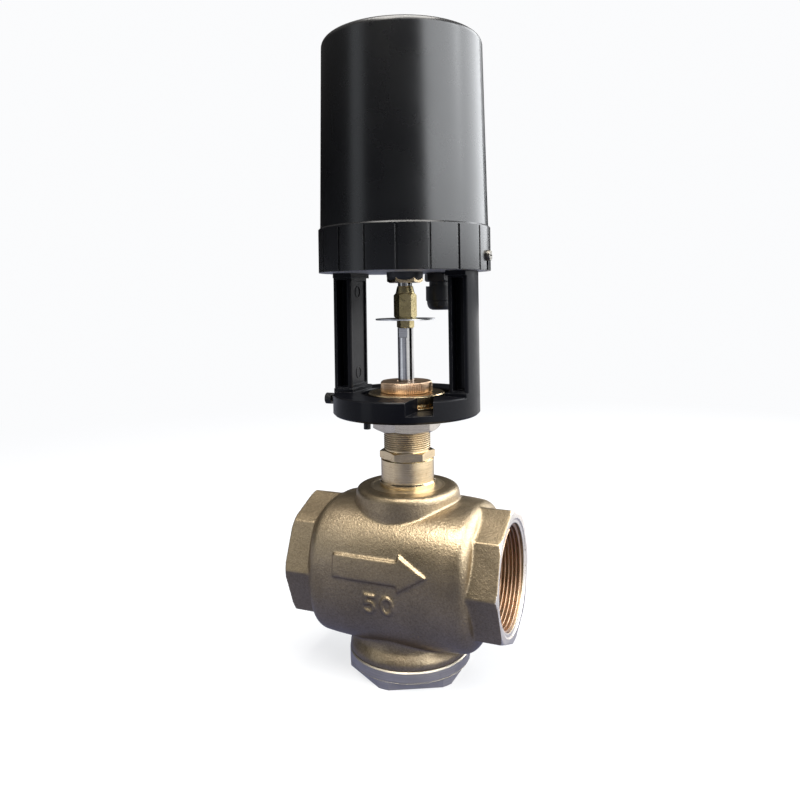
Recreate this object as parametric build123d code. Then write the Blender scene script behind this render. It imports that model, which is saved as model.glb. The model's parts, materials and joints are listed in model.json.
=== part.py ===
from build123d import *
import math
import os

os.makedirs("parts", exist_ok=True)

# ---------------------------------------------------------------- dimensions
# Millimetres. Origin: centre of the bottom cap's flat underside. +Z up,
# +X along the flow (outlet side), -Y the front face that carries the arrow.
PORT_Z = 59.3            # height of the port axis
PORT_LEN = 130.0         # end face to end face
PORT_R = 29.8            # thread major radius of the G2 ports
PORT_DEPTH = 21.0
OCT_R = 38.4             # octagon corner radius
OCT_IN = 50.5            # inner face of the octagons
BARREL_R = 43.0
STROKE = 20.0            # valve travel, stem up = open
LEAD = 4.0               # spindle thread lead, right hand
SPINDLE_R = 4.35
RING_Z0, RING_Z1, RING_R = 151.0, 163.5, 44.7
YOKE_TOP = 236.5         # underside of the actuator base plate
SKIRT_R = 52.2
SKIRT_TOP = 263.0
COVER_R0, COVER_R1 = 51.0, 49.0
TOP_Z = 376.0
MOD = 0.8                # gear module
N_DRIVE, N_IDLER, N_PINION, N_FEED = 50, 24, 20, 16
FEED_Z = 318.0


# ---------------------------------------------------------------- helpers
def cyl(r, z0, z1, x=0.0, y=0.0):
    return Pos(x, y, (z0 + z1) / 2) * Cylinder(r, z1 - z0)


def tube(ro, ri, z0, z1, x=0.0, y=0.0):
    return cyl(ro, z0, z1, x, y) - cyl(ri, z0 - 1, z1 + 1, x, y)


def block(x0, x1, y0, y1, z0, z1):
    return Pos((x0 + x1) / 2, (y0 + y1) / 2, (z0 + z1) / 2) * Box(x1 - x0, y1 - y0, z1 - z0)


def hexa(af, z0, z1, x=0.0, y=0.0, rot=0.0):
    s = RegularPolygon(af / 2, 6, major_radius=False, rotation=rot)
    return Pos(x, y, z0) * extrude(s, amount=z1 - z0)


def turned(points):
    """Solid of revolution about Z from (radius, height) points."""
    return revolve(Plane.XZ * make_face(Polyline(*points, close=True)), Axis.Z, 360)


def turned_x(points, z):
    """Solid of revolution about X at height z from (x, radius) points."""
    return Pos(0, 0, z) * revolve(Plane.XZ * make_face(Polyline(*points, close=True)), Axis.X, 360)


def cyl_x(r, x0, x1, y=0.0, z=0.0):
    return Pos((x0 + x1) / 2, y, z) * (Rot(0, 90, 0) * Cylinder(r, x1 - x0))


def hex_chamfered(af, z0, z1, c, top=True, bottom=True, rot=0.0, x=0.0, y=0.0):
    """Hexagon whose corners are turned off by a cone, as on real nuts."""
    rc = af / 2 / math.cos(math.pi / 6) + 0.05
    rf = af / 2 * 0.985
    pts = [(0, z0), (rf if bottom else rc, z0)]
    if bottom:
        pts.append((rc, z0 + c))
    if top:
        pts += [(rc, z1 - c), (rf, z1)]
    else:
        pts.append((rc, z1))
    pts.append((0, z1))
    return hexa(af, z0, z1, x, y, rot) & (Pos(x, y, 0) * turned(pts))


def softened(part, edges, *radii):
    """Fillet with the largest of the given radii that the shape accepts."""
    for r in radii:
        try:
            out = fillet(edges, r)
            if out.is_valid:
                return out
        except Exception:
            continue
    return part


def involute(z):
    return math.tan(z) - z


def gear_face(n, m, phase=0.0, slack=0.86):
    """Involute spur gear outline, 20 degrees, with backlash."""
    rp = n * m / 2
    rb = rp * math.cos(math.radians(20))
    rt, rr = rp + 0.95 * m, rp - 1.25 * m
    half = math.pi / (2 * n) * slack
    pts = []
    lo = max(rb, rr)
    rad = [lo + (rt - lo) * k / 4 for k in range(5)]
    ang = [half + involute(math.radians(20)) - involute(math.acos(min(1.0, rb / r))) for r in rad]
    for k in range(n):
        c = math.radians(phase) + 2 * math.pi * k / n
        side = [(rr, ang[0])] if rr < lo - 1e-6 else []
        side += list(zip(rad, ang))
        for r, a in side:
            pts.append((r * math.cos(c - a), r * math.sin(c - a)))
        for r, a in reversed(side):
            pts.append((r * math.cos(c + a), r * math.sin(c + a)))
    return make_face(Polyline(*pts, close=True))


def meshed_phase(line_deg, n_a, phase_a, n_b, m):
    """Phase of gear B so that its gap meets a tooth of gear A."""
    pa = 360.0 / n_a
    d = (phase_a - line_deg) % pa
    if d > pa / 2:
        d -= pa
    ra, rb = n_a * m / 2, n_b * m / 2
    arc = math.radians(d) * ra + math.pi * m / 2
    return line_deg + 180.0 - math.degrees(arc / rb)


def save(shape, name):
    if isinstance(shape, (list, tuple)):
        shape = Compound(children=[s for s in shape])
    shape.label = name
    export_step(shape, "parts/" + name + ".step")


# ---------------------------------------------------------------- cast body
def squarish(x, r, top=1.0, n=2.6, count=32):
    """Closed section across X: a circle of radius r swelled towards its diagonals, lowered at the top."""
    pts = []
    for k in range(count):
        t = 2 * math.pi * (k + 0.5) / count
        c, d = math.cos(t), math.sin(t)
        q = r / (abs(c) ** n + abs(d) ** n) ** (1 / n)
        pts.append((q * c, q * d * (top if d > 0 else 1.0)))
    plane = Plane(origin=(x, 0, PORT_Z), x_dir=(0, 1, 0), z_dir=(1, 0, 0))
    return plane * make_face(Spline(*pts, periodic=True))


def globe(grow=0.0):
    stations = [(-49.6, 40.2, 0.935), (-40, 41.6, 0.945), (-20, 42.7, 0.957), (0, BARREL_R, 0.962),
                (20, 42.7, 0.962), (40, 41.6, 0.958), (49.6, 40.2, 0.953)]
    return loft([squarish(x, r + grow, t) for x, r, t in stations])


barrel = globe()
shoulder = [e for e in barrel.edges() if abs(abs(e.center().X) - 49.6) < 0.2]
barrel = softened(barrel, shoulder, 8.5, 7.5, 6.0, 4.0, 3.0)

boss = turned([(0, 70), (32.0, 70), (31.9, 98), (31.5, 103.8), (30.7, 105.7), (29.2, 106.8), (27.2, 107.2),
               (21.8, 107.2), (21.8, 106.9), (0, 106.9)])
neck = turned([(0, 11.0), (35.6, 11.0), (36.1, 11.7), (36.0, 14.2), (34.9, 16.6), (33.2, 19.4), (32.4, 23),
               (32.4, 45), (0, 45)])
outer = barrel + boss + neck
blend = [e for e in outer.edges() if e.geom_type not in (GeomType.CIRCLE, GeomType.LINE)
         and math.hypot(e.center().X, e.center().Y) < 34 and (e.center().Z > 72 or e.center().Z < 44)]
outer = softened(outer, blend, 4.5, 3.5, 2.5, 1.5)


OCT_ROOT = 43.0          # the octagons start inside the shoulders


def octagon_end(s):
    face = Plane(origin=(s * OCT_ROOT, 0, PORT_Z), x_dir=(0, 1, 0), z_dir=(s, 0, 0))
    p = extrude(face * RegularPolygon(OCT_R, 8), amount=PORT_LEN / 2 - OCT_ROOT)
    e = PORT_LEN / 2
    limit = turned_x([(s * (OCT_ROOT - 1), 0), (s * (OCT_ROOT - 1), 38.6), (s * (e - 1.3), 38.6),
                      (s * e, 36.8), (s * e, 0)], PORT_Z)
    return p & limit


outer = outer + octagon_end(-1) + octagon_end(1)

# raised flow arrow on the front
arrow = Plane(origin=(0, -36, 69), x_dir=(1, 0, 0), z_dir=(0, -1, 0)) * make_face(Polyline(
    (-30, -6.5), (10, -6.5), (10, -10), (27, 0), (10, 10), (10, 6.5), (-30, 6.5), close=True))
arrow_prism = extrude(arrow, amount=12)
outer = outer + (arrow_prism & globe(1.7))

# passages: inlet goes under the web, outlet leaves above it
end_x = PORT_LEN / 2
cuts = [
    cyl_x(PORT_R, -end_x - 1, -end_x + PORT_DEPTH, 0, PORT_Z),
    cyl_x(PORT_R, end_x - PORT_DEPTH, end_x + 1, 0, PORT_Z),
    cyl_x(32.6, -end_x - 1, -end_x + 0.8, 0, PORT_Z),
    cyl_x(32.6, end_x - 0.8, end_x + 1, 0, PORT_Z),
    cyl_x(26.5, -46, -33.5, 0, PORT_Z),
    cyl_x(26.5, 33.5, 46, 0, PORT_Z),
    cyl(27.0, 10.0, 47.0),
    cyl(26.0, 55.0, 96.0),
    cyl(23.5, 46.0, 56.0),
    cyl(15.05, 95.0, 108.0),
    block(-34, -14, -18, 18, 35, 47.0),
    block(14, 34, -18, 18, 60.0, 84.0),
]
body = outer
for c in cuts:
    body = body - c

# raised size number 50 on the front, under the arrow
zero = Ellipse(4.0, 5.4) - Ellipse(2.3, 3.7)
five = Pos(0.3, 4.5) * Rectangle(6.8, 1.8) + Pos(-2.4, 2.3) * Rectangle(1.8, 6.2) \
    + Pos(-0.1, -1.8) * (Circle(3.7) - Circle(1.95)) - Pos(-2.4, -2.1) * Rectangle(3.4, 2.6) \
    + Pos(-1.6, 0.4) * Rectangle(3.2, 1.7)
number = Plane(origin=(-1.3, -36, 50.4), x_dir=(1, 0, 0), z_dir=(0, -1, 0)) * (
    Pos(-5.6, 0) * five + Pos(5.2, 0) * zero)
number_solid = extrude(number, amount=12) & globe(1.3)
body = body + number_solid
save(body, "valve_body")

# ---------------------------------------------------------------- valve trim
save(turned([(18, 44), (25.5, 44), (25.5, 46.95), (23.45, 46.95), (23.45, 55.6), (21.2, 55.6),
             (20.6, 56.7), (18.9, 56.7), (18.0, 55.8)]), "seat_ring")

cap = turned([(0, 0), (36.2, 0), (36.4, 4.7), (35.9, 4.8), (36.4, 5.0), (36.4, 10.2), (35.8, 10.95),
              (26.9, 10.95), (26.9, 21.0), (26.1, 21.8), (22.5, 21.8), (22.5, 9.0), (0, 9.0)])
cap_hex = hexa(65.6, -1, 4.6, rot=-32.8) + cyl(40, 4.6, 30)
save(cap & cap_hex, "bottom_cap")
save(tube(26.85, 24.4, 21.85, 24.2), "bottom_cap_seal")

save(turned([(4.02, 66), (7.5, 64.4), (10.5, 64.4), (14.0, 68.5), (16.3, 73.0),
             (17.5, 77.0), (17.9, 77.0), (17.9, 79.1), (21.5, 79.1), (21.5, 84.0), (20.5, 85.0),
             (9.0, 85.0), (8.0, 91.9), (4.02, 91.9)]), "plug")
save(tube(20.9, 17.95, 77.05, 79.05), "plug_seal")
save(hex_chamfered(13.0, 58.0, 64.3, 0.9) - cyl(4.02, 57, 66), "plug_nut")

stem = turned([(0, 56.5), (3.5, 56.5), (3.98, 57.0), (3.98, 92.0), (5.0, 92.0), (5.0, 202.5),
               (3.98, 202.5), (3.98, 216.6), (3.5, 217.2), (0, 217.2)])
flats = block(-6, 6, 4.2, 8, 196.8, 202.6) + block(-6, 6, -8, -4.2, 196.8, 202.6)
save(stem - flats, "valve_stem")

bonnet = turned([(5.06, 98), (14.2, 98), (15.0, 99), (15.0, 107.3), (17.0, 107.3), (17.0, 109.6),
                 (16.1, 110.5), (16.1, 123.3), (19, 123.3), (19, 128.7), (13.7, 128.7),
                 (13.7, 165.9), (13.2, 166.4), (9.0, 166.4), (9.0, 130.0), (5.06, 128.0)])
bonnet_hex = (hex_chamfered(29.2, 123.2, 128.75, 0.9, rot=24.6) + cyl(18, 90, 123.25)
              + cyl(14, 128.6, 170))
save(bonnet & bonnet_hex, "bonnet")
save(tube(16.9, 15.1, 106.95, 107.27), "bonnet_seal")
save(tube(8.95, 5.06, 130.3, 139.0), "packing_washer")
save([turned([(5.04, z), (8.95, z), (8.95, z + 4.0), (7.0, z + 4.7), (5.04, z + 4.0)])
      for z in (139.1, 143.9, 148.7)], "packing_rings")
save(turned([(5.08, 153.6), (8.9, 153.6), (8.9, 166.9), (5.08, 166.9)]), "gland_follower")

lock = hex_chamfered(36.2, 140.3, 151.0, 1.2, rot=32.0) & turned(
    [(0, 140.3), (16.4, 140.3), (21.4, 142.6), (21.4, 152), (0, 152)])
save(lock - cyl(13.75, 139, 153), "yoke_lock_nut")
save(tube(26.5, 13.75, 155.55, 156.7), "mounting_washer")
ringnut = turned([(13.75, 156.75), (22.9, 156.75), (23.3, 157.1), (23.3, 157.9), (22.8, 158.1),
                  (22.8, 158.4), (23.3, 158.6), (23.3, 163.0), (22.7, 163.6), (13.75, 163.6)])
save(ringnut, "ring_nut")
gland = turned([(5.3, 167.2), (13.8, 167.2), (13.8, 163.7), (15.3, 163.7), (15.75, 164.2),
                (15.75, 169.6), (15.0, 170.3), (6.2, 170.3), (5.3, 169.6)])
save(gland, "gland_nut")

# ---------------------------------------------------------------- yoke
ring = turned([(13.95, RING_Z0), (43.5, RING_Z0), (RING_R, RING_Z0 + 1.2), (RING_R, RING_Z1 - 0.6),
               (RING_R - 0.6, RING_Z1), (28.3, RING_Z1), (27.7, RING_Z1 - 0.6), (27.7, 155.5),
               (13.95, 155.5)])
window = make_face(Polyline((16.0, -50), (36.0, -50), (29.6, -34), (23.2, -14), (16.0, -14), close=True))
ring = ring - extrude(Pos(0, 0, 155.7) * window, amount=14.3)
legs = block(-RING_R, -31.3, -12, 12, 160, YOKE_TOP) + block(31.3, RING_R, -12, 12, 160, YOKE_TOP)
legs = legs & (cyl(RING_R, 150, 240))
upright = [e for e in legs.edges() if e.geom_type == GeomType.LINE and e.length > 60]
legs = softened(legs, upright, 1.2, 0.8)
for s in (-1, 1):
    xa, xb = sorted((s * 33.7, s * 40.9))
    for t in (-1, 1):
        ya, yb = sorted((t * 3.4, t * 14))
        legs = legs - block(xa, xb, ya, yb, 166.5, 232.5)
    xa, xb = sorted((s * 30, s * 32.2))
    legs = legs - block(xa, xb, -9.6, 9.6, 167.5, 232.0)
    for z in (174.5, 225.0):
        legs = legs + cyl_x(3.6, *sorted((s * 31.9, s * 33.0)), 0, z) - cyl_x(3.0, *sorted((s * 30.0, s * 32.3)), 0, z)
foot = block(-RING_R, -29.6, -13.6, 13.6, 162, 165.6) + block(29.6, RING_R, -13.6, 13.6, 162, 165.6)
head = block(-RING_R, -30.4, -13.0, 13.0, 233.6, YOKE_TOP) + block(30.4, RING_R, -13.0, 13.0, 233.6, YOKE_TOP)
yoke = ring + legs + ((foot + head) & cyl(RING_R, 150, 240))
for s in (-1, 1):
    yoke = yoke - cyl(2.05, 222.5, 240, s * 37.3, 0)
yoke = yoke - cyl_x(2.03, -50, -30, 0, 157.3) - cyl(2.03, 150, 156.5, 36 * math.cos(math.radians(253)),
                                                    36 * math.sin(math.radians(253)))
save(yoke, "yoke")
clamp = cyl_x(2.0, -50.9, -31.0, 0, 157.3) + cyl_x(3.5, -55.0, -50.8, 0, 157.3)
clamp = clamp - Pos(-55.0, 0, 157.3) * (Rot(0, 90, 0) * Pos(0, 0, -1.0) * extrude(
    RegularPolygon(1.5, 6, major_radius=False), amount=3.2))
save(clamp, "clamp_screw")
ax, ay = 36 * math.cos(math.radians(253)), 36 * math.sin(math.radians(253))
save(cyl(2.0, 146.3, 156.4, ax, ay) - hexa(1.9, 146.0, 148.3, ax, ay), "ring_set_screw")

# ---------------------------------------------------------------- actuator base
base = turned([(8.05, YOKE_TOP + 0.02), (49.3, YOKE_TOP + 0.02), (49.3, 252.0), (44.0, 252.0), (44.0, 241.5),
               (8.05, 241.5)])
GX, GY = 13.0, 29.0
base = base - cyl(6.1, 230, 250, GX, GY)
for s in (-1, 1):
    base = base - cyl_x(1.55, *sorted((s * 42.0, s * 50.0)), 0, 245.0)
    base = base - cyl(2.1, 230, 250, s * 37.3, 0)
PILLARS = [(21.2, 21.2), (-21.2, -21.2), (28.0, -28.0), (24.5, 32.0)]
save(base, "base_plate")
yoke_screws = []
for s in (-1, 1):
    sc = cyl(2.0, 223.5, 241.6, s * 37.3, 0) + cyl(3.6, 241.55, 245.5, s * 37.3, 0)
    yoke_screws.append(sc - hexa(3.0, 243.6, 246, s * 37.3, 0))
save(yoke_screws, "yoke_screws")
gasket = tube(49.2, 47.2, 252.05, 253.4)
save(gasket, "cover_gasket")

bush = hex_chamfered(19.0, 230.0, 235.2, 1.0, rot=22.6) + cyl(8.0, 235.0, 244.0)
save(bush - cyl(SPINDLE_R + 0.06, 229, 246), "guide_bush")
dome = turned([(8.3, 231.0), (9.8, 231.2), (10.25, 232.2), (10.4, 234.0), (10.4, 236.5), (8.3, 236.5)])
save(dome - hexa(19.1, 228, 235.4, rot=22.6), "dust_cap")

# ---------------------------------------------------------------- stem linkage
save(hex_chamfered(9.2, 202.55, 207.4, 0.6, rot=20.0) - cyl(4.02, 200, 210), "stem_lock_nut")
save(tube(18.2, 4.02, 207.5, 208.3), "indicator_disc")
coup = (hex_chamfered(12.2, 208.4, 223.6, 1.3, rot=22.6)
        + turned([(0, 223.0), (6.0, 223.0), (4.8, 228.0), (0, 228.0)]))
save(coup - cyl(4.02, 205, 217.5) - cyl(3.52, 216, 230), "coupling")
save(turned([(0, 217.9), (3.5, 217.9), (3.5, 228.05), (SPINDLE_R, 228.05), (SPINDLE_R, 345.0),
             (3.8, 346.0), (0, 346.0)]), "output_spindle")

# ---------------------------------------------------------------- cable gland
save(hex_chamfered(19.0, 230.8, 236.45, 1.2, x=GX, y=GY) - cyl(6.1, 228, 240, GX, GY)
     + (turned([(4.6, 226.0), (7.4, 226.0), (7.4, 231.0), (4.6, 231.0)]).moved(Location((GX, GY, 0))))
     + tube(6.0, 4.6, 230.0, 246.5, GX, GY), "gland_body")
comp = turned([(4.6, 212.8), (5.6, 212.8), (7.3, 213.5), (8.5, 215.0), (9.0, 217.2), (9.0, 218.4),
               (9.6, 218.8), (9.6, 227.9), (7.5, 227.9),
               (7.5, 219.0), (4.6, 219.0)])
save(comp.moved(Location((GX, GY, 0))), "gland_compression_nut")
save(tube(7.3, 4.0, 219.1, 225.9, GX, GY), "gland_rubber")
save(hex_chamfered(15.0, 241.6, 245.4, 0.9, x=GX, y=GY) - cyl(6.05, 240, 247, GX, GY), "gland_locknut")

# ---------------------------------------------------------------- gear case
LP0, LP1, UP0, UP1 = 262.0, 264.5, 285.5, 288.0
line_i = 101.3
ix, iy = 29.6 * math.cos(math.radians(line_i)), 29.6 * math.sin(math.radians(line_i))
MX, MY = 31.0 * math.cos(math.radians(line_i + 33.66)), 31.0 * math.sin(math.radians(line_i + 33.66))
rim = 45.4


def deck(z0, z1, bore):
    p = cyl(rim, z0, z1) - cyl(bore, z0 - 1, z1 + 1) - cyl(1.98, z0 - 1, z1 + 1, ix, iy)
    for x, y in PILLARS:
        p = p - cyl(3.02, z0 - 1, z1 + 1, x, y)
    return p


save(deck(LP0, LP1, 13.02), "lower_gear_plate")
save(deck(UP0, UP1, 13.02) - cyl(4.0, UP0 - 1, UP1 + 1, MX, MY), "upper_gear_plate")
save([cyl(3.0, 241.55, 352.0 if k < 2 else 292.0, x, y) for k, (x, y) in enumerate(PILLARS)], "pillars")
save([tube(4.6, 3.02, z, z + 2.4, x, y) for x, y in PILLARS for z in (UP1 + 0.03, LP0 - 2.45)], "plate_nuts")
save([tube(13.0, 7.06, LP0 - 1.0, 266.0), tube(13.0, 7.06, 284.0, UP1 + 1.0)], "nut_bearings")
save(cyl(1.97, LP0 - 0.5, UP1 + 0.5, ix, iy), "idler_axle")

drive = Pos(0, 0, 270) * extrude(gear_face(N_DRIVE, MOD), amount=9)
drive = drive + cyl(9.0, 266.3, 283.7) - cyl(7.02, 260, 290)
save(drive, "drive_gear")
save(tube(7.0, SPINDLE_R + 0.05, 259.5, 291.0), "drive_nut")
phase_i = meshed_phase(line_i, N_DRIVE, 0.0, N_IDLER, MOD)
idler = Pos(ix, iy, 270.2) * extrude(gear_face(N_IDLER, MOD, phase_i), amount=8.6)
save(idler + cyl(4.0, 264.9, 285.1, ix, iy) - cyl(2.03, 260, 290, ix, iy), "idler_gear")
line_p = math.degrees(math.atan2(MY - iy, MX - ix))
phase_p = meshed_phase(line_p, N_IDLER, phase_i, N_PINION, MOD)
pinion = Pos(MX, MY, 270.0) * extrude(gear_face(N_PINION, MOD, phase_p), amount=9)
save(pinion - cyl(2.52, 260, 290, MX, MY), "motor_pinion")
save(cyl(2.5, 266.0, 293.0, MX, MY), "motor_shaft")
save(turned([(2.6, 288.05), (12.5, 288.05), (13.4, 289.0), (13.4, 308.0), (0, 308.0), (0, 294.0),
             (2.6, 294.0)]).moved(Location((MX, MY, 0))), "motor_gearbox")
save(turned([(0, 308.05), (12.9, 308.05), (12.9, 345.0), (11.9, 346.4), (4.0, 346.4), (4.0, 348.6),
             (0, 348.6)]).moved(Location((MX, MY, 0))), "motor_can")

# ---------------------------------------------------------------- carriage and feedback
arm = Rot(0, 0, 45) * block(-30, 30, -4.6, 4.6, 330, 338)
carriage = (arm + cyl(9.0, 330, 338) + cyl(6.2, 330, 338, *PILLARS[0]) + cyl(6.2, 330, 338, *PILLARS[1])
            + block(3.0, 18.0, -9.9, -3.0, 330, 338))
carriage = (carriage - cyl(SPINDLE_R + 0.02, 320, 340) - cyl(3.06, 320, 340, *PILLARS[0])
            - cyl(3.06, 320, 340, *PILLARS[1]))
save(carriage, "carriage")
save([hex_chamfered(13.0, 338.05, 343.0, 0.9) - cyl(SPINDLE_R + 0.02, 330, 345),
      hex_chamfered(13.0, 325.0, 329.95, 0.9) - cyl(SPINDLE_R + 0.02, 320, 332)], "carriage_nuts")

pitch = math.pi * MOD
w = math.pi * MOD / 4 * 0.86
t20 = math.tan(math.radians(20))
rack_pts = [(-9.95, 311.5)]
top = 344.5
rack_pts = [(-9.95, 311.5), (-9.95, top)]
teeth = [FEED_Z + (k + 0.5) * pitch for k in range(-2, 10)]
for zt in sorted(teeth, reverse=True):
    a, b = w + 1.0 * t20 * 1.0, w - 0.76 * t20
    rack_pts += [(-13.0, zt + a), (-14.76, zt + b), (-14.76, zt - b), (-13.0, zt - a)]
rack_pts.append((-13.0, 311.5))
rack_pts.insert(2, (-13.0, top))
rack = extrude(Plane(origin=(14.0, 0, 0), x_dir=(0, 1, 0), z_dir=(1, 0, 0)) * make_face(
    Polyline(*rack_pts, close=True)), amount=4.0)
save(rack, "feedback_rack")
fy = -14.0 - N_FEED * MOD / 2
feed_plane = Plane(origin=(14.3, fy, FEED_Z), x_dir=(0, 1, 0), z_dir=(1, 0, 0))
feed = extrude(feed_plane * gear_face(N_FEED, MOD), amount=3.4)
save(feed + cyl_x(3.4, 17.6, 19.2, fy, FEED_Z) + cyl_x(1.5, 14.3, 25.0, fy, FEED_Z), "feedback_gear")
bracket = (block(19.6, 21.4, fy - 8, fy + 5, 288.05, 328) + block(19.6, 29.0, fy - 8, fy + 5, 288.05, 289.8)
           - cyl_x(2.2, 18, 23, fy, FEED_Z))
bracket = bracket - cyl(4.7, 285, 292, *PILLARS[2]) - cyl(3.02, 285, 293, *PILLARS[2])
save(bracket, "pot_bracket")
save(cyl_x(8.0, 21.45, 31.0, fy, FEED_Z) - cyl_x(1.56, 20, 25.4, fy, FEED_Z), "potentiometer")

# ---------------------------------------------------------------- electrics
save(block(33.6, 35.2, -22, 22, 296.0, 352.0), "circuit_board")
save([block(31.0, 33.55, s * 16 - 3, s * 16 + 3, 288.05, 304.0) for s in (-1, 1)], "board_brackets")
chips = [block(35.25, 38.0, -14, -4, 318, 332), block(35.25, 39.5, 2, 12, 334, 346),
         block(35.25, 38.5, -12, 2, 300, 310), block(35.25, 40.5, 6, 14, 302, 314)]
save(chips, "board_components")
save(turned([(0, 288.05), (7.6, 288.05), (8.0, 288.6), (8.0, 325.0), (7.4, 326.0), (0, 326.0)]).moved(
    Location((-3.0, -32.0, 0))), "capacitor")
term = block(-14, 14, -38, -26, 241.55, 253.5)
for k in range(5):
    term = term - cyl(1.9, 248.0, 255, -10.4 + 5.2 * k, -32) - block(-12 + 5.2 * k, -8.8 + 5.2 * k, -40, -34, 243.5, 246.9)
save(term, "terminal_block")
save([cyl(1.8, 248.05, 252.6, -10.4 + 5.2 * k, -32) - block(-12.4 + 5.2 * k, -8.4 + 5.2 * k, -32.3, -31.7, 252, 253)
      for k in range(5)], "terminal_screws")

# ---------------------------------------------------------------- cover
shell = turned([(0, TOP_Z), (COVER_R1, TOP_Z), (COVER_R0, SKIRT_TOP), (SKIRT_R - 0.8, SKIRT_TOP),
                (SKIRT_R, SKIRT_TOP - 0.8), (SKIRT_R, YOKE_TOP), (49.8, YOKE_TOP), (49.8, 253.5),
                (48.0, 253.5), (46.3, 373.0), (0, 373.0)])
rim_edge = [e for e in shell.edges() if e.geom_type == GeomType.CIRCLE
            and abs(e.center().Z - TOP_Z) < 0.1 and e.radius > 48]
shell = softened(shell, rim_edge, 4.0, 3.0, 2.0)
for k in range(18):
    a = -72.5 + 20 * k
    g = Rot(0, 0, a) * block(SKIRT_R - 0.9, SKIRT_R + 2, -0.75, 0.75, YOKE_TOP - 1, SKIRT_TOP - 1.4)
    shell = shell - g
for s in (-1, 1):
    xa, xb = sorted((s * 46.0, s * 54.0))
    shell = shell - block(xa, xb, -1.8, 1.8, YOKE_TOP - 1, 245.0) - cyl_x(1.8, xa, xb, 0, 245.0)
save(shell, "cover")
screws = []
for s in (-1, 1):
    sc = cyl_x(1.5, *sorted((s * 43.2, s * 52.4)), 0, 245.0)
    sc = sc + cyl_x(3.1, *sorted((s * 52.3, s * 54.3)), 0, 245.0)
    xa, xb = sorted((s * 53.5, s * 55.0))
    screws.append(sc - block(xa, xb, -0.4, 0.4, 242.9, 247.1) - block(xa, xb, -2.1, 2.1, 244.6, 245.4))
save(screws, "cover_screws")
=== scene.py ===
import bpy
import bmesh
import json
import math
import random
from mathutils import Vector, Matrix


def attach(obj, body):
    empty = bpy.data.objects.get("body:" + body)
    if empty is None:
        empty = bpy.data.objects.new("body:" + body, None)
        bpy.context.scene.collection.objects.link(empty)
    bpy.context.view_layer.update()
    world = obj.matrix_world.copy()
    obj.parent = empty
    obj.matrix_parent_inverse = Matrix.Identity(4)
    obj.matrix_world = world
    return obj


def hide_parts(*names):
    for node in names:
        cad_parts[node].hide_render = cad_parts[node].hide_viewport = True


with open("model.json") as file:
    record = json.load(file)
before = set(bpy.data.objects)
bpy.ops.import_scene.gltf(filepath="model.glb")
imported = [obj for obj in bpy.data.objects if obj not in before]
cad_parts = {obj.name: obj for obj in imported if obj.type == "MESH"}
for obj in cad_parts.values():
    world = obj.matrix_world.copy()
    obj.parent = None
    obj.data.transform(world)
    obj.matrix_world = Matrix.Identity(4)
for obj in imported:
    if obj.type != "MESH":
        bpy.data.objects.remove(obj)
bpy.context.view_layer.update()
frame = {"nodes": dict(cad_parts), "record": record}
random.seed(7)
NODES = frame["nodes"]
MM = 0.001
PORT_Z = 59.3
scene = bpy.context.scene
coll = scene.collection


# ------------------------------------------------------------------ camera
cam_data = bpy.data.cameras.new("photo_camera")
cam = bpy.data.objects.new("photo_camera", cam_data)
coll.objects.link(cam)
cam_data.sensor_width = 36.0
cam_data.lens = 31.87
cam_data.shift_y = -0.132
cam_data.clip_start = 0.01
cam_data.dof.use_dof = False
psi = math.radians(22.62)
right = Vector((math.cos(psi), math.sin(psi), 0))
fwd = Vector((-math.sin(psi), math.cos(psi), 0))
up = Vector((0, 0, 1))
roll = math.radians(-0.84)
r2 = right * math.cos(roll) + up * math.sin(roll)
u2 = -right * math.sin(roll) + up * math.cos(roll)
rot = Matrix((r2, u2, -fwd)).transposed()
cam.matrix_world = Matrix.Translation(Vector((0.1636, -0.4007, 0.223))) @ rot.to_4x4()
scene.camera = cam


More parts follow.
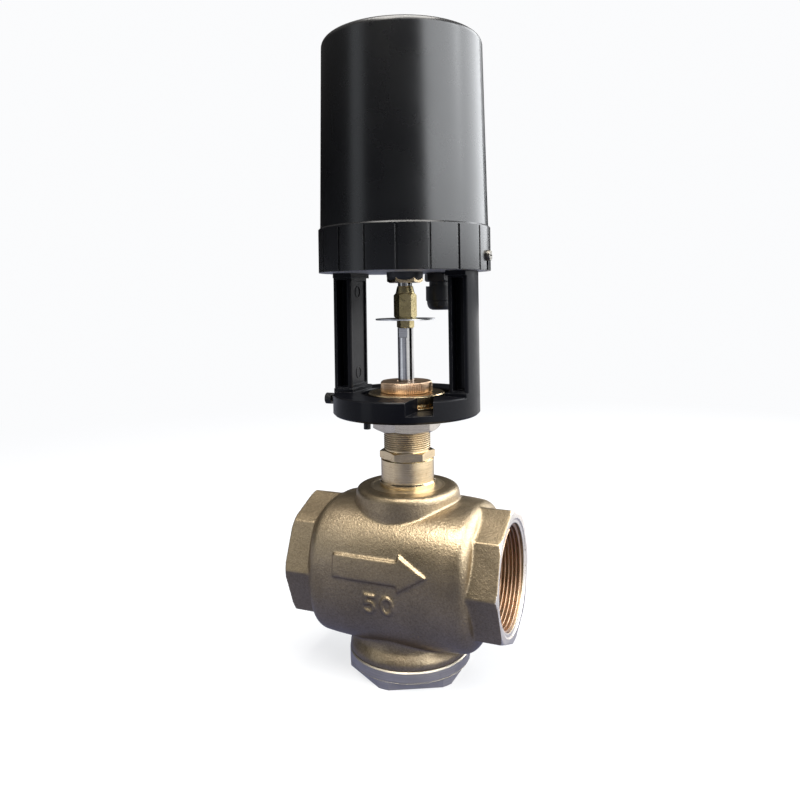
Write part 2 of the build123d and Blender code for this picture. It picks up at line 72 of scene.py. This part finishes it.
# ------------------------------------------------------------------ shader helpers
class Shade:
    def __init__(self, name):
        self.m = bpy.data.materials.new(name)
        self.m.use_nodes = True
        self.nt = self.m.node_tree
        self.nt.nodes.clear()
        self.out = self.nt.nodes.new("ShaderNodeOutputMaterial")
        self.b = self.nt.nodes.new("ShaderNodeBsdfPrincipled")
        self.nt.links.new(self.b.outputs[0], self.out.inputs[0])
        self.tc = self.nt.nodes.new("ShaderNodeTexCoord")
        self.pos = self.tc.outputs["Object"]
        self.last_normal = None

    def link(self, a, b):
        self.nt.links.new(a, b)

    def mapping(self, scale=(1, 1, 1), rotation=(0, 0, 0), location=(0, 0, 0)):
        n = self.nt.nodes.new("ShaderNodeMapping")
        n.inputs["Scale"].default_value = scale
        n.inputs["Rotation"].default_value = rotation
        n.inputs["Location"].default_value = location
        self.link(self.pos, n.inputs["Vector"])
        return n.outputs[0]

    def noise(self, scale, detail=3.0, rough=0.55, vec=None, distortion=0.0):
        n = self.nt.nodes.new("ShaderNodeTexNoise")
        n.inputs["Scale"].default_value = scale
        n.inputs["Detail"].default_value = detail
        n.inputs["Roughness"].default_value = rough
        n.inputs["Distortion"].default_value = distortion
        self.link(vec if vec else self.pos, n.inputs["Vector"])
        return n.outputs["Fac"]

    def voronoi(self, scale, vec=None, feature="F1", rnd=1.0):
        n = self.nt.nodes.new("ShaderNodeTexVoronoi")
        n.feature = feature
        n.inputs["Scale"].default_value = scale
        n.inputs["Randomness"].default_value = rnd
        self.link(vec if vec else self.pos, n.inputs["Vector"])
        return n.outputs["Distance"]

    def wave(self, scale, vec=None, distortion=0.0, direction="Z"):
        n = self.nt.nodes.new("ShaderNodeTexWave")
        n.wave_type = "BANDS"
        n.bands_direction = direction
        n.inputs["Scale"].default_value = scale
        n.inputs["Distortion"].default_value = distortion
        self.link(vec if vec else self.pos, n.inputs["Vector"])
        return n.outputs["Fac"]

    def ramp(self, fac, stops):
        n = self.nt.nodes.new("ShaderNodeValToRGB")
        e = n.color_ramp.elements
        while len(e) < len(stops):
            e.new(0.5)
        for i, (p, c) in enumerate(stops):
            e[i].position = p
            e[i].color = (*c, 1.0) if len(c) == 3 else c
        self.link(fac, n.inputs[0])
        return n.outputs[0]

    def rng(self, fac, a, b, c, d):
        n = self.nt.nodes.new("ShaderNodeMapRange")
        for i, v in enumerate((a, b, c, d)):
            n.inputs[i + 1].default_value = v
        self.link(fac, n.inputs[0])
        return n.outputs[0]

    def mix(self, fac, a, b, mode="MIX"):
        n = self.nt.nodes.new("ShaderNodeMix")
        n.data_type = "RGBA"
        n.blend_type = mode
        if isinstance(fac, (int, float)):
            n.inputs[0].default_value = fac
        else:
            self.link(fac, n.inputs[0])
        for i, v in ((6, a), (7, b)):
            if isinstance(v, (tuple, list)):
                n.inputs[i].default_value = (*v[:3], 1.0)
            else:
                self.link(v, n.inputs[i])
        return n.outputs[2]

    def math(self, op, a, b=0.0):
        n = self.nt.nodes.new("ShaderNodeMath")
        n.operation = op
        for i, v in ((0, a), (1, b)):
            if isinstance(v, (int, float)):
                n.inputs[i].default_value = v
            else:
                self.link(v, n.inputs[i])
        return n.outputs[0]

    def bump(self, height, strength, distance):
        n = self.nt.nodes.new("ShaderNodeBump")
        n.inputs["Strength"].default_value = strength
        n.inputs["Distance"].default_value = distance
        self.link(height, n.inputs["Height"])
        if self.last_normal is not None:
            self.link(self.last_normal, n.inputs["Normal"])
        self.last_normal = n.outputs[0]

    def rounded(self, radius, samples=4):
        n = self.nt.nodes.new("ShaderNodeBevel")
        n.samples = samples
        n.inputs["Radius"].default_value = radius
        self.last_normal = n.outputs[0]
        return n.outputs[0]

    def edges(self, radius, lo=0.02, hi=0.25):
        """1 on sharp edges, 0 on flat areas."""
        n = self.nt.nodes.new("ShaderNodeBevel")
        n.samples = 4
        n.inputs["Radius"].default_value = radius
        g = self.nt.nodes.new("ShaderNodeNewGeometry")
        d = self.nt.nodes.new("ShaderNodeVectorMath")
        d.operation = "DOT_PRODUCT"
        self.link(n.outputs[0], d.inputs[0])
        self.link(g.outputs["Normal"], d.inputs[1])
        inv = self.math("SUBTRACT", 1.0, d.outputs["Value"])
        return self.rng(inv, lo, hi, 0.0, 1.0)

    def done(self, metallic=0.0, ior=None, coat=None, spec=None):
        self.b.inputs["Metallic"].default_value = metallic
        if ior:
            self.b.inputs["IOR"].default_value = ior
        if coat:
            self.b.inputs["Coat Weight"].default_value = coat[0]
            self.b.inputs["Coat Roughness"].default_value = coat[1]
        if spec is not None:
            self.b.inputs["Specular IOR Level"].default_value = spec
        if self.last_normal is not None:
            self.link(self.last_normal, self.b.inputs["Normal"])
        return self.m


def cast_metal(name, dark, mid, light, grain=1.0, metallic=0.85, rough=(0.42, 0.6)):
    s = Shade(name)
    cloud = s.noise(22, 4, 0.6)
    fine = s.noise(900, 3, 0.65)
    base = s.ramp(cloud, [(0.25, dark), (0.5, mid), (0.75, light)])
    speck = s.ramp(fine, [(0.30, (0.62, 0.60, 0.56)), (0.62, (1.0, 1.0, 1.0))])
    col = s.mix(0.75, base, speck, "MULTIPLY")
    edge_mask = s.edges(0.0011, 0.03, 0.3)
    col = s.mix(s.math("MULTIPLY", edge_mask, 0.55), col, tuple(min(1, 1.5 * c) for c in light))
    s.link(col, s.b.inputs["Base Color"])
    s.link(s.rng(s.noise(60, 3, 0.6), 0.3, 0.7, rough[0], rough[1]), s.b.inputs["Roughness"])
    s.rounded(0.0006)
    s.bump(s.noise(110, 3, 0.5), 0.22 * grain, 0.0008)
    s.bump(s.noise(620, 3, 0.6), 0.7 * grain, 0.00030)
    s.bump(s.voronoi(1300), 0.45 * grain, 0.00012)
    return s.done(metallic)


def turned_metal(name, dark, light, axis="Z", metallic=1.0, rough=(0.16, 0.32), lines=2600, stretch=0.02, depth=0.35, tarnish=None):
    s = Shade(name)
    sc = {"Z": (stretch, stretch, 1), "X": (1, stretch, stretch), "Y": (stretch, 1, stretch)}[axis]
    streak = s.noise(lines, 3, 0.6, s.mapping(sc))
    cloud = s.noise(45, 4, 0.6)
    col = s.ramp(cloud, [(0.3, dark), (0.7, light)])
    col = s.mix(s.rng(streak, 0.35, 0.7, 0.0, 0.35), col, tuple(c * 0.55 for c in dark))
    if tarnish:
        col = s.mix(s.rng(s.noise(140, 4, 0.65), 0.55, 0.75, 0.0, 0.6), col, tarnish)
    edge_mask = s.edges(0.0005, 0.04, 0.35)
    col = s.mix(s.math("MULTIPLY", edge_mask, 0.6), col, tuple(min(1, c * 1.35) for c in light))
    s.link(col, s.b.inputs["Base Color"])
    s.link(s.rng(s.noise(lines * 0.6, 3, 0.6, s.mapping(sc)), 0.3, 0.7, rough[0], rough[1]), s.b.inputs["Roughness"])
    s.rounded(0.0002)
    s.bump(streak, depth, 0.00003)
    return s.done(metallic)


def plastic(name, dark, light, rough=(0.3, 0.42), grain=400, depth=0.3, dist=0.00006, edge_wear_and_glint_col=None, coat=None, spec=0.5, metallic=0.0, bevel=0.0003):
    s = Shade(name)
    col = s.ramp(s.noise(18, 3, 0.6), [(0.3, dark), (0.7, light)])
    speck = s.noise(grain * 2.5, 2, 0.6)
    col = s.mix(s.rng(speck, 0.55, 0.75, 0.0, 0.25), col, tuple(min(1, c * 1.6 + 0.001) for c in light))
    # Edges are mixed towards a lighter colour: real edge wear, and on the yoke paint also a painted glint along the
    # edges.
    if edge_wear_and_glint_col:
        edge_mask = s.edges(0.0005, 0.05, 0.5)
        col = s.mix(s.math("MULTIPLY", edge_mask, s.rng(s.noise(150, 3, 0.6), 0.4, 0.7, 0.1, 0.7)), col, edge_wear_and_glint_col)
    s.link(col, s.b.inputs["Base Color"])
    s.link(s.rng(s.noise(35, 4, 0.65), 0.3, 0.7, rough[0], rough[1]), s.b.inputs["Roughness"])
    s.rounded(bevel)
    s.bump(s.noise(grain, 3, 0.6), depth, dist)
    s.bump(s.voronoi(grain * 3), depth * 0.5, dist * 0.5)
    return s.done(metallic, coat=coat, spec=spec)


MAT = {
    "cast_bronze": cast_metal("cast_bronze", (0.325, 0.255, 0.162), (0.41, 0.325, 0.213), (0.50, 0.40, 0.275), metallic=1.0, rough=(0.34, 0.46)),
    "cap_brass": turned_metal("cap_brass", (0.70, 0.63, 0.50), (0.80, 0.73, 0.60), rough=(0.38, 0.5), tarnish=(0.52, 0.46, 0.38)),
    "turned_brass": turned_metal("turned_brass", (0.66, 0.50, 0.30), (0.86, 0.70, 0.45), rough=(0.16, 0.28), tarnish=(0.50, 0.34, 0.18)),
    "pale_brass": turned_metal("pale_brass", (0.44, 0.40, 0.35), (0.60, 0.55, 0.49), rough=(0.2, 0.34)),
    "olive_brass": turned_metal("olive_brass", (0.42, 0.34, 0.16), (0.62, 0.52, 0.28), rough=(0.24, 0.36), lines=700, stretch=1.0, depth=0.12, tarnish=(0.26, 0.19, 0.08)),
    "knurled_bronze": turned_metal("knurled_bronze", (0.57, 0.395, 0.255), (0.73, 0.53, 0.37), rough=(0.32, 0.44), tarnish=(0.36, 0.21, 0.13)),
    "polished_steel": turned_metal("polished_steel", (0.33, 0.33, 0.335), (0.46, 0.46, 0.455), rough=(0.10, 0.2), depth=0.15),
    "turned_steel": turned_metal("turned_steel", (0.50, 0.50, 0.51), (0.68, 0.68, 0.68), rough=(0.2, 0.36)),
    "zinc_steel": turned_metal("zinc_steel", (0.56, 0.57, 0.59), (0.76, 0.77, 0.79), rough=(0.32, 0.46), lines=900, stretch=0.5, tarnish=(0.48, 0.48, 0.46)),
    "black_steel": plastic("black_steel", (0.012, 0.012, 0.012), (0.03, 0.03, 0.03), rough=(0.3, 0.45), grain=900, edge_wear_and_glint_col=(0.25, 0.24, 0.22), metallic=0.6),
    "cast_aluminium": cast_metal("cast_aluminium", (0.42, 0.42, 0.43), (0.52, 0.52, 0.53), (0.62, 0.62, 0.62), grain=0.5),
    # yoke edge colour: real paint chips plus a painted glint along the edges
    "yoke_paint": plastic("yoke_paint", (0.002, 0.0021, 0.0032), (0.0038, 0.004, 0.0056), rough=(0.34, 0.5), grain=420, depth=0.6, dist=0.00012, edge_wear_and_glint_col=(0.24, 0.235, 0.225), coat=(0.17, 0.14), bevel=0.0007, spec=0.05),
    "cover_plastic": plastic("cover_plastic", (0.0015, 0.0017, 0.0024), (0.0024, 0.0027, 0.0035), rough=(0.25, 0.30), grain=1400, depth=0.12, dist=0.00002, edge_wear_and_glint_col=(0.03, 0.03, 0.031), bevel=0.0005, spec=0.5),
    "black_nylon": plastic("black_nylon", (0.01, 0.01, 0.011), (0.02, 0.02, 0.021), rough=(0.38, 0.52), grain=800, depth=0.35, edge_wear_and_glint_col=(0.05, 0.05, 0.05)),
    "black_rubber": plastic("black_rubber", (0.010, 0.010, 0.010), (0.022, 0.022, 0.022), rough=(0.45, 0.65), grain=700, depth=0.4),
    "white_ptfe": plastic("white_ptfe", (0.72, 0.72, 0.70), (0.84, 0.84, 0.82), rough=(0.35, 0.5), grain=600),
    "white_acetal": plastic("white_acetal", (0.66, 0.64, 0.58), (0.78, 0.77, 0.72), rough=(0.3, 0.45), grain=600),
    "blue_plastic": plastic("blue_plastic", (0.02, 0.05, 0.18), (0.035, 0.075, 0.25), rough=(0.3, 0.42), grain=600),
    "board_green": plastic("board_green", (0.008, 0.10, 0.04), (0.015, 0.15, 0.06), rough=(0.22, 0.35), grain=500),
    "chip_black": plastic("chip_black", (0.012, 0.012, 0.013), (0.03, 0.03, 0.031), rough=(0.4, 0.55), grain=900),
    "terminal_green": plastic("terminal_green", (0.03, 0.16, 0.06), (0.05, 0.22, 0.09), rough=(0.35, 0.5), grain=600),
}
MAT["worn_zinc"] = turned_metal("worn_zinc", (0.20, 0.19, 0.17), (0.30, 0.285, 0.26), rough=(0.3, 0.44), lines=900, stretch=0.5, tarnish=(0.16, 0.13, 0.09))
SLOT = {p["node"]: p["material_slot"] for p in frame["record"]["subparts"]}


def paint(obj, mat):
    obj.data.materials.clear()
    obj.data.materials.append(mat)


for name, obj in NODES.items():
    m = MAT["worn_zinc"] if name == "cover_screws" else MAT[SLOT[name]]
    if obj.material_slots:
        for sl in obj.material_slots:
            sl.material = m
    else:
        obj.data.materials.append(m)


# ------------------------------------------------------------------ studio
def area(name, loc, target, size, power, colour=(1, 1, 1), size_y=None):
    d = bpy.data.lights.new(name, "AREA")
    d.energy = power
    d.color = colour
    d.size = size
    if size_y:
        d.shape = "RECTANGLE"
        d.size_y = size_y
    o = bpy.data.objects.new(name, d)
    coll.objects.link(o)
    o.location = loc
    v = Vector(target) - Vector(loc)
    o.rotation_euler = v.to_track_quat("-Z", "Y").to_euler()
    return o


scene.view_settings.view_transform = "Standard"
world = bpy.data.worlds.new("studio")
scene.world = world
world.use_nodes = True
wn = world.node_tree
bg = wn.nodes["Background"]
bg.inputs[0].default_value = (1.0, 0.96, 0.92, 1)
bg.inputs[1].default_value = 0.27
pale = wn.nodes.new("ShaderNodeBackground")
pale.inputs[0].default_value = (0.965, 0.97, 0.98, 1)
pale.inputs[1].default_value = 1.0
room = wn.nodes.new("ShaderNodeBackground")
room.inputs[0].default_value = (0.62, 0.72, 0.95, 1)
room.inputs[1].default_value = 0.30
way = wn.nodes.new("ShaderNodeTexCoord")
parts = wn.nodes.new("ShaderNodeSeparateXYZ")
wn.links.new(way.outputs["Generated"], parts.inputs[0])
lift = wn.nodes.new("ShaderNodeMapRange")
for i, v in enumerate((0.20, 0.62, 0.03, 0.42)):
    lift.inputs[i + 1].default_value = v
wn.links.new(parts.outputs[2], lift.inputs[0])
ahead = wn.nodes.new("ShaderNodeVectorMath")
ahead.operation = "DOT_PRODUCT"
ahead.inputs[1].default_value = (0.385, -0.923, 0.6)
wn.links.new(way.outputs["Generated"], ahead.inputs[0])
back = wn.nodes.new("ShaderNodeMapRange")
for i, v in enumerate((-0.45, 0.35, 0.42, 1.0)):
    back.inputs[i + 1].default_value = v
wn.links.new(ahead.outputs["Value"], back.inputs[0])
level = wn.nodes.new("ShaderNodeMath")
level.operation = "MULTIPLY"
wn.links.new(lift.outputs[0], level.inputs[0])
wn.links.new(back.outputs[0], level.inputs[1])
wn.links.new(level.outputs[0], bg.inputs[1])
path = wn.nodes.new("ShaderNodeLightPath")
both = wn.nodes.new("ShaderNodeMixShader")
wn.links.new(path.outputs["Is Glossy Ray"], both.inputs[0])
wn.links.new(room.outputs[0], both.inputs[1])
wn.links.new(bg.outputs[0], both.inputs[2])
seen = wn.nodes.new("ShaderNodeMixShader")
wn.links.new(path.outputs["Is Camera Ray"], seen.inputs[0])
wn.links.new(both.outputs[0], seen.inputs[1])
wn.links.new(pale.outputs[0], seen.inputs[2])
wn.links.new(seen.outputs[0], wn.nodes["World Output"].inputs[0])

me = bpy.data.meshes.new("studio_floor")
me.from_pydata([(-9, -9, 0), (9, -9, 0), (9, 9, 0), (-9, 9, 0)], [], [(0, 1, 2, 3)])
floor = bpy.data.objects.new("studio_floor", me)
coll.objects.link(floor)
fs = Shade("floor_pale")
fs.link(fs.ramp(fs.noise(3, 2, 0.5), [(0.3, (0.80, 0.80, 0.81)), (0.7, (0.84, 0.84, 0.84))]), fs.b.inputs["Base Color"])
fs.b.inputs["Roughness"].default_value = 1.0
fs.b.inputs["Specular IOR Level"].default_value = 0.0
glow = fs.nt.nodes.new("ShaderNodeEmission")
glow.inputs[0].default_value = (0.965, 0.97, 0.98, 1)
glow.inputs[1].default_value = 1.0
seen = fs.nt.nodes.new("ShaderNodeMixShader")
away = fs.nt.nodes.new("ShaderNodeVectorMath")
away.operation = "LENGTH"
fs.link(fs.pos, away.inputs[0])
fs.link(fs.rng(away.outputs["Value"], 0.35, 1.1, 0.76, 1.0), seen.inputs[0])
fs.link(fs.rng(away.outputs["Value"], 0.35, 1.1, 1.02, 1.0), glow.inputs[1])
fs.link(fs.b.outputs[0], seen.inputs[1])
fs.link(glow.outputs[0], seen.inputs[2])
# To glossy rays the floor glows with painted light: a painted shadow, dark blue, round the object and painted pools of
# light to its left and, brightest, to its right.
dark = fs.nt.nodes.new("ShaderNodeEmission")
dark.inputs[1].default_value = 1.0
reach = fs.nt.nodes.new("ShaderNodeVectorMath")
reach.operation = "LENGTH"
fs.link(fs.pos, reach.inputs[0])
painted_floor_shadow = fs.ramp(fs.rng(reach.outputs["Value"], 0.03, 0.55, 0.0, 1.0),
               [(0.0, (0.175, 0.20, 0.37)), (0.30, (0.26, 0.28, 0.40)), (1.0, (0.22, 0.232, 0.30))])
side = fs.nt.nodes.new("ShaderNodeVectorMath")
side.operation = "DOT_PRODUCT"
side.inputs[1].default_value = (0.923, 0.385, 0)
fs.link(fs.pos, side.inputs[0])
painted_floor_light = fs.ramp(fs.rng(side.outputs["Value"], -0.6, 0.8, 0.0, 1.0),
              [(0.0, (0.42, 0.43, 0.46)), (0.30, (0.0, 0.0, 0.0)), (0.52, (0.0, 0.0, 0.0)), (0.72, (0.95, 0.93, 0.88)), (1.0, (1.5, 1.48, 1.42))])
fs.link(fs.mix(1.0, painted_floor_shadow, painted_floor_light, "ADD"), dark.inputs[0])
bounce = fs.nt.nodes.new("ShaderNodeBsdfDiffuse")
bounce.inputs[0].default_value = (0.10, 0.12, 0.17, 1)
path = fs.nt.nodes.new("ShaderNodeLightPath")
dim = fs.nt.nodes.new("ShaderNodeMixShader")
fs.link(path.outputs["Is Glossy Ray"], dim.inputs[0])
fs.link(bounce.outputs[0], dim.inputs[1])
fs.link(dark.outputs[0], dim.inputs[2])
split = fs.nt.nodes.new("ShaderNodeMixShader")
fs.link(path.outputs["Is Camera Ray"], split.inputs[0])
fs.link(dim.outputs[0], split.inputs[1])
fs.link(seen.outputs[0], split.inputs[2])
fs.done(0.0)
fs.link(split.outputs[0], fs.out.inputs[0])
paint(floor, fs.m)

RIGHT = Vector((0.923, 0.385, 0))
FRONT = Vector((0.385, -0.923, 0))
mid = Vector((0, 0, 0.24))


def around(deg, dist, z):
    """A point at an angle to the right of the camera's side of the object."""
    a = math.radians(deg)
    return (FRONT * math.cos(a) + RIGHT * math.sin(a)) * dist + Vector((0, 0, z))


area("window_a", around(56, 0.95, 0.70), (0, 0, 0.36), 1.0, 17, (0.95, 0.975, 1.0), 0.85)
area("window_b", around(110, 0.95, 0.68), (0, 0, 0.34), 1.15, 16.5, (0.95, 0.975, 1.0), 0.85)
area("strip_left", around(-63, 0.8, 0.42), (0, 0, 0.30), 0.26, 0.75, (0.9, 0.95, 1.0), 0.9)
area("top_soft", around(10, 0.22, 1.30), (0, 0, 0.1), 0.9, 28, (1.0, 0.97, 0.92))
area("front_high", around(-25, 0.75, 1.30), (0, 0, 0.08), 0.45, 5, (1.0, 0.965, 0.90))

# ------------------------------------------------------------------ mesh helpers
def mesh_piece(name, verts, faces, mat, body, smooth=True, auto=None):
    d = bpy.data.meshes.new(name)
    d.from_pydata([tuple(c * MM for c in v) for v in verts], [], faces)
    d.validate()
    bm = bmesh.new()
    bm.from_mesh(d)
    bmesh.ops.recalc_face_normals(bm, faces=bm.faces)
    bm.to_mesh(d)
    bm.free()
    for p in d.polygons:
        p.use_smooth = smooth
    if auto is not None:
        d.set_sharp_from_angle(angle=math.radians(auto))
    o = bpy.data.objects.new(name, d)
    coll.objects.link(o)
    paint(o, MAT[mat])
    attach(o, body)
    return o


def helix_ridge(name, r_base, r_crest, z0, z1, pitch, mat, body, to_world, steps=72, flat=0.14, foot=0.86):
    """Closed thread ridge winding round +Z from z0 to z1. to_world maps local mm to the part frame."""
    turns = (z1 - z0) / pitch
    n = max(8, int(turns * steps))
    verts, faces = [], []
    inward = r_crest < r_base
    back = r_base + (0.12 if inward else -0.12)
    for i in range(n + 1):
        f = i / n
        a = 2 * math.pi * turns * f
        z = z0 + (z1 - z0) * f
        fade = min(1.0, f * turns / 0.5, (1 - f) * turns / 0.5)
        rc = r_base + (r_crest - r_base) * fade
        half_foot, half_crest = pitch * foot / 2, pitch * flat / 2
        prof = [(back, -half_foot), (r_base, -half_foot), (rc - (rc - r_base) * 0.12, -half_crest - pitch * 0.05), (rc, -half_crest * 0.6),
                (rc, half_crest * 0.6), (rc - (rc - r_base) * 0.12, half_crest + pitch * 0.05), (r_base, half_foot), (back, half_foot)]
        for r, dz in prof:
            verts.append(to_world((r * math.cos(a), r * math.sin(a), z + dz)))
    m = 8
    for i in range(n):
        for k in range(m):
            a0, a1 = i * m + k, i * m + (k + 1) % m
            faces.append((a0, a1, a1 + m, a0 + m))
    faces.append(tuple(range(m)))
    faces.append(tuple(n * m + k for k in reversed(range(m))))
    return mesh_piece(name, verts, faces, mat, body, True, auto=38)


def lathe(name, pts, mat, body, steps=128, to_world=lambda v: v, auto=30):
    """Closed ring turned from an (r, z) loop."""
    verts, faces = [], []
    m = len(pts)
    for i in range(steps):
        a = 2 * math.pi * i / steps
        for r, z in pts:
            verts.append(to_world((r * math.cos(a), r * math.sin(a), z)))
    for i in range(steps):
        j = (i + 1) % steps
        for k in range(m):
            l = (k + 1) % m
            faces.append((i * m + k, i * m + l, j * m + l, j * m + k))
    return mesh_piece(name, verts, faces, mat, body, True, auto)


# ------------------------------------------------------------------ cast body
MAT["machined_rim"] = turned_metal("machined_rim", (0.80, 0.74, 0.67), (0.94, 0.90, 0.84), axis="X", rough=(0.38, 0.5), lines=1800)
MAT["thread_copper"] = turned_metal("thread_copper", (0.52, 0.34, 0.22), (0.78, 0.56, 0.40), axis="X", rough=(0.24, 0.38), lines=1800, tarnish=(0.25, 0.12, 0.06))
MAT["spot_face"] = turned_metal("spot_face", (0.56, 0.46, 0.32), (0.74, 0.63, 0.46), rough=(0.34, 0.46), lines=900)
MAT["bore_brass"] = turned_metal("bore_brass", (0.30, 0.17, 0.09), (0.46, 0.29, 0.17), axis="X", rough=(0.3, 0.5), lines=1200)

src = NODES["valve_body"]
d = src.data.copy()
d.name = "cast_body"
body = bpy.data.objects.new("cast_body", d)
coll.objects.link(body)
body.matrix_world = src.matrix_world.copy()
rm = body.modifiers.new("skin", "REMESH")
rm.mode = "VOXEL"
rm.voxel_size = 0.00052
deps = bpy.context.evaluated_depsgraph_get()
new = bpy.data.meshes.new_from_object(body.evaluated_get(deps))
body.modifiers.clear()
body.data = new
import numpy as np
nv = len(new.vertices)
co = np.empty(nv * 3)
new.vertices.foreach_get("co", co)
co = co.reshape(-1, 3)
ed = np.empty(len(new.edges) * 2, dtype=np.int64)
new.edges.foreach_get("vertices", ed)
ed = ed.reshape(-1, 2)
deg = np.bincount(ed.ravel(), minlength=nv)[:, None].astype(float)
x, y, z = co[:, 0] / MM, co[:, 1] / MM, co[:, 2] / MM
rad = np.hypot(y, z - PORT_Z)
rz = np.hypot(x, y)
hold = np.zeros(nv)
hold[(np.abs(x) > 51) & (rad > 33.5)] = 0.72
hold[(np.abs(x) > 62.5)] = 0.85
hold[(rad < 31.0) & (np.abs(x) > 43)] = 1.0
hold[(rz < 30.5) & (z < 50)] = 1.0
hold[(z > 106.2) & (rz < 24)] = 1.0
hold[(z < 12.5)] = 0.8
w = (1.0 - hold)[:, None]


def laplace(c):
    acc = np.zeros_like(c)
    np.add.at(acc, ed[:, 0], c[ed[:, 1]])
    np.add.at(acc, ed[:, 1], c[ed[:, 0]])
    return acc / deg - c


rounds = 13
for _ in range(rounds):
    co = co + 0.55 * w * laplace(co)
    co = co - 0.20 * w * laplace(co)
rr = np.hypot(co[:, 0], co[:, 1])
seat = (rr < 0.0212) & (co[:, 2] > 0.1064)
co[seat, 2] = 0.10728 - np.clip((rr[seat] - 0.0183) / 0.0027, 0, 1) * 0.00036
new.vertices.foreach_set("co", co.ravel())
new.update()
for p in new.polygons:
    p.use_smooth = True
paint(body, MAT["cast_bronze"])
body.data.materials.append(MAT["machined_rim"])
body.data.materials.append(MAT["spot_face"])
for p in new.polygons:
    c, nn = p.center, p.normal
    if abs(c.x) > 0.0640 and abs(nn.x) > 0.72:
        p.material_index = 1
    elif c.z > 0.1060 and nn.z > 0.85 and math.hypot(c.x, c.y) < 0.0228:
        p.material_index = 2
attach(body, "valve_frame")
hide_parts("valve_body")

for side, tag in ((-1, "inlet"), (1, "outlet")):
    def along(v, s=side):
        return (s * v[2], s * v[1], v[0] + PORT_Z)
    lathe(f"{tag}_rim", [(29.95, 63.9), (30.2, 64.15), (32.55, 64.15), (32.65, 64.98), (34.6, 64.98), (34.9, 64.8),
                         (34.9, 63.6), (31.2, 63.4)], "machined_rim", "valve_frame", 160, along)
    helix_ridge(f"{tag}_thread", 29.86, 28.35, 45.2, 63.6, 2.309, "thread_copper", "valve_frame", along, steps=96)

# ------------------------------------------------------------------ threads and knurl
def thread_metal(name, root, crest, r_root, r_crest, dim=(0.16, 0.10, 0.05)):
    """Brass with painted shade: darker towards the root radius of a thread round +Z."""
    s = Shade(name)
    ln = s.nt.nodes.new("ShaderNodeVectorMath")
    ln.operation = "LENGTH"
    s.link(s.mapping((1, 1, 0)), ln.inputs[0])
    root_shade_fade = s.rng(ln.outputs["Value"], r_root * MM, r_crest * MM, 0.0, 1.0)
    col = s.ramp(s.noise(45, 4, 0.6), [(0.3, root), (0.7, crest)])
    # painted shade: the thread root is mixed towards a dim colour
    s.link(s.mix(root_shade_fade, dim, col), s.b.inputs["Base Color"])
    s.link(s.rng(s.noise(400, 3, 0.6), 0.3, 0.7, 0.34, 0.44), s.b.inputs["Roughness"])
    return s.done(1.0)


MAT["thread_brass"] = thread_metal("thread_brass", (0.66, 0.50, 0.30), (0.86, 0.70, 0.45), 13.84, 14.12)
helix_ridge("bonnet_thread", 13.73, 14.2, 129.3, 140.1, 1.25, "thread_brass", "valve_frame", lambda v: v, steps=96, flat=0.2)
helix_ridge("spindle_thread_upper", 4.33, 4.85, 312.0, 324.5, 2.0, "polished_steel", "stem_group", lambda v: v, steps=48)

verts, faces = [], []
teeth = 80
per = 4
rows = [(5.4, 169.5, 0), (6.2, 170.3, 0), (14.9, 170.3, 0), (15.35, 169.95, 0.5), (15.72, 169.45, 1), (15.72, 164.4, 1), (15.35, 163.95, 0.5), (14.9, 163.7, 0), (13.85, 163.7, 0),
        (13.85, 167.1, 0), (5.4, 167.1, 0)]
n = teeth * per
for r, zz, k in rows:
    for i in range(n):
        a = 2 * math.pi * i / n
        dip = (0.0, 0.30, 0.52, 0.30)[i % per] * k
        verts.append(((r - dip) * math.cos(a), (r - dip) * math.sin(a), zz))
for j in range(len(rows)):
    k = (j + 1) % len(rows)
    for i in range(n):
        i2 = (i + 1) % n
        faces.append((j * n + i, j * n + i2, k * n + i2, k * n + i))
knob = mesh_piece("gland_nut_knurled", verts, faces, "knurled_bronze", "valve_frame", True, auto=30)
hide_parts("gland_nut")

cap = lathe("dust_cap_domed", [(8.3, 231.5), (9.4, 231.5), (10.2, 232.2), (10.95, 233.3), (11.12, 234.0), (11.15, 236.5), (8.3, 236.5)],
            "black_rubber", "valve_frame", 96, auto=50)
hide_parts("dust_cap")
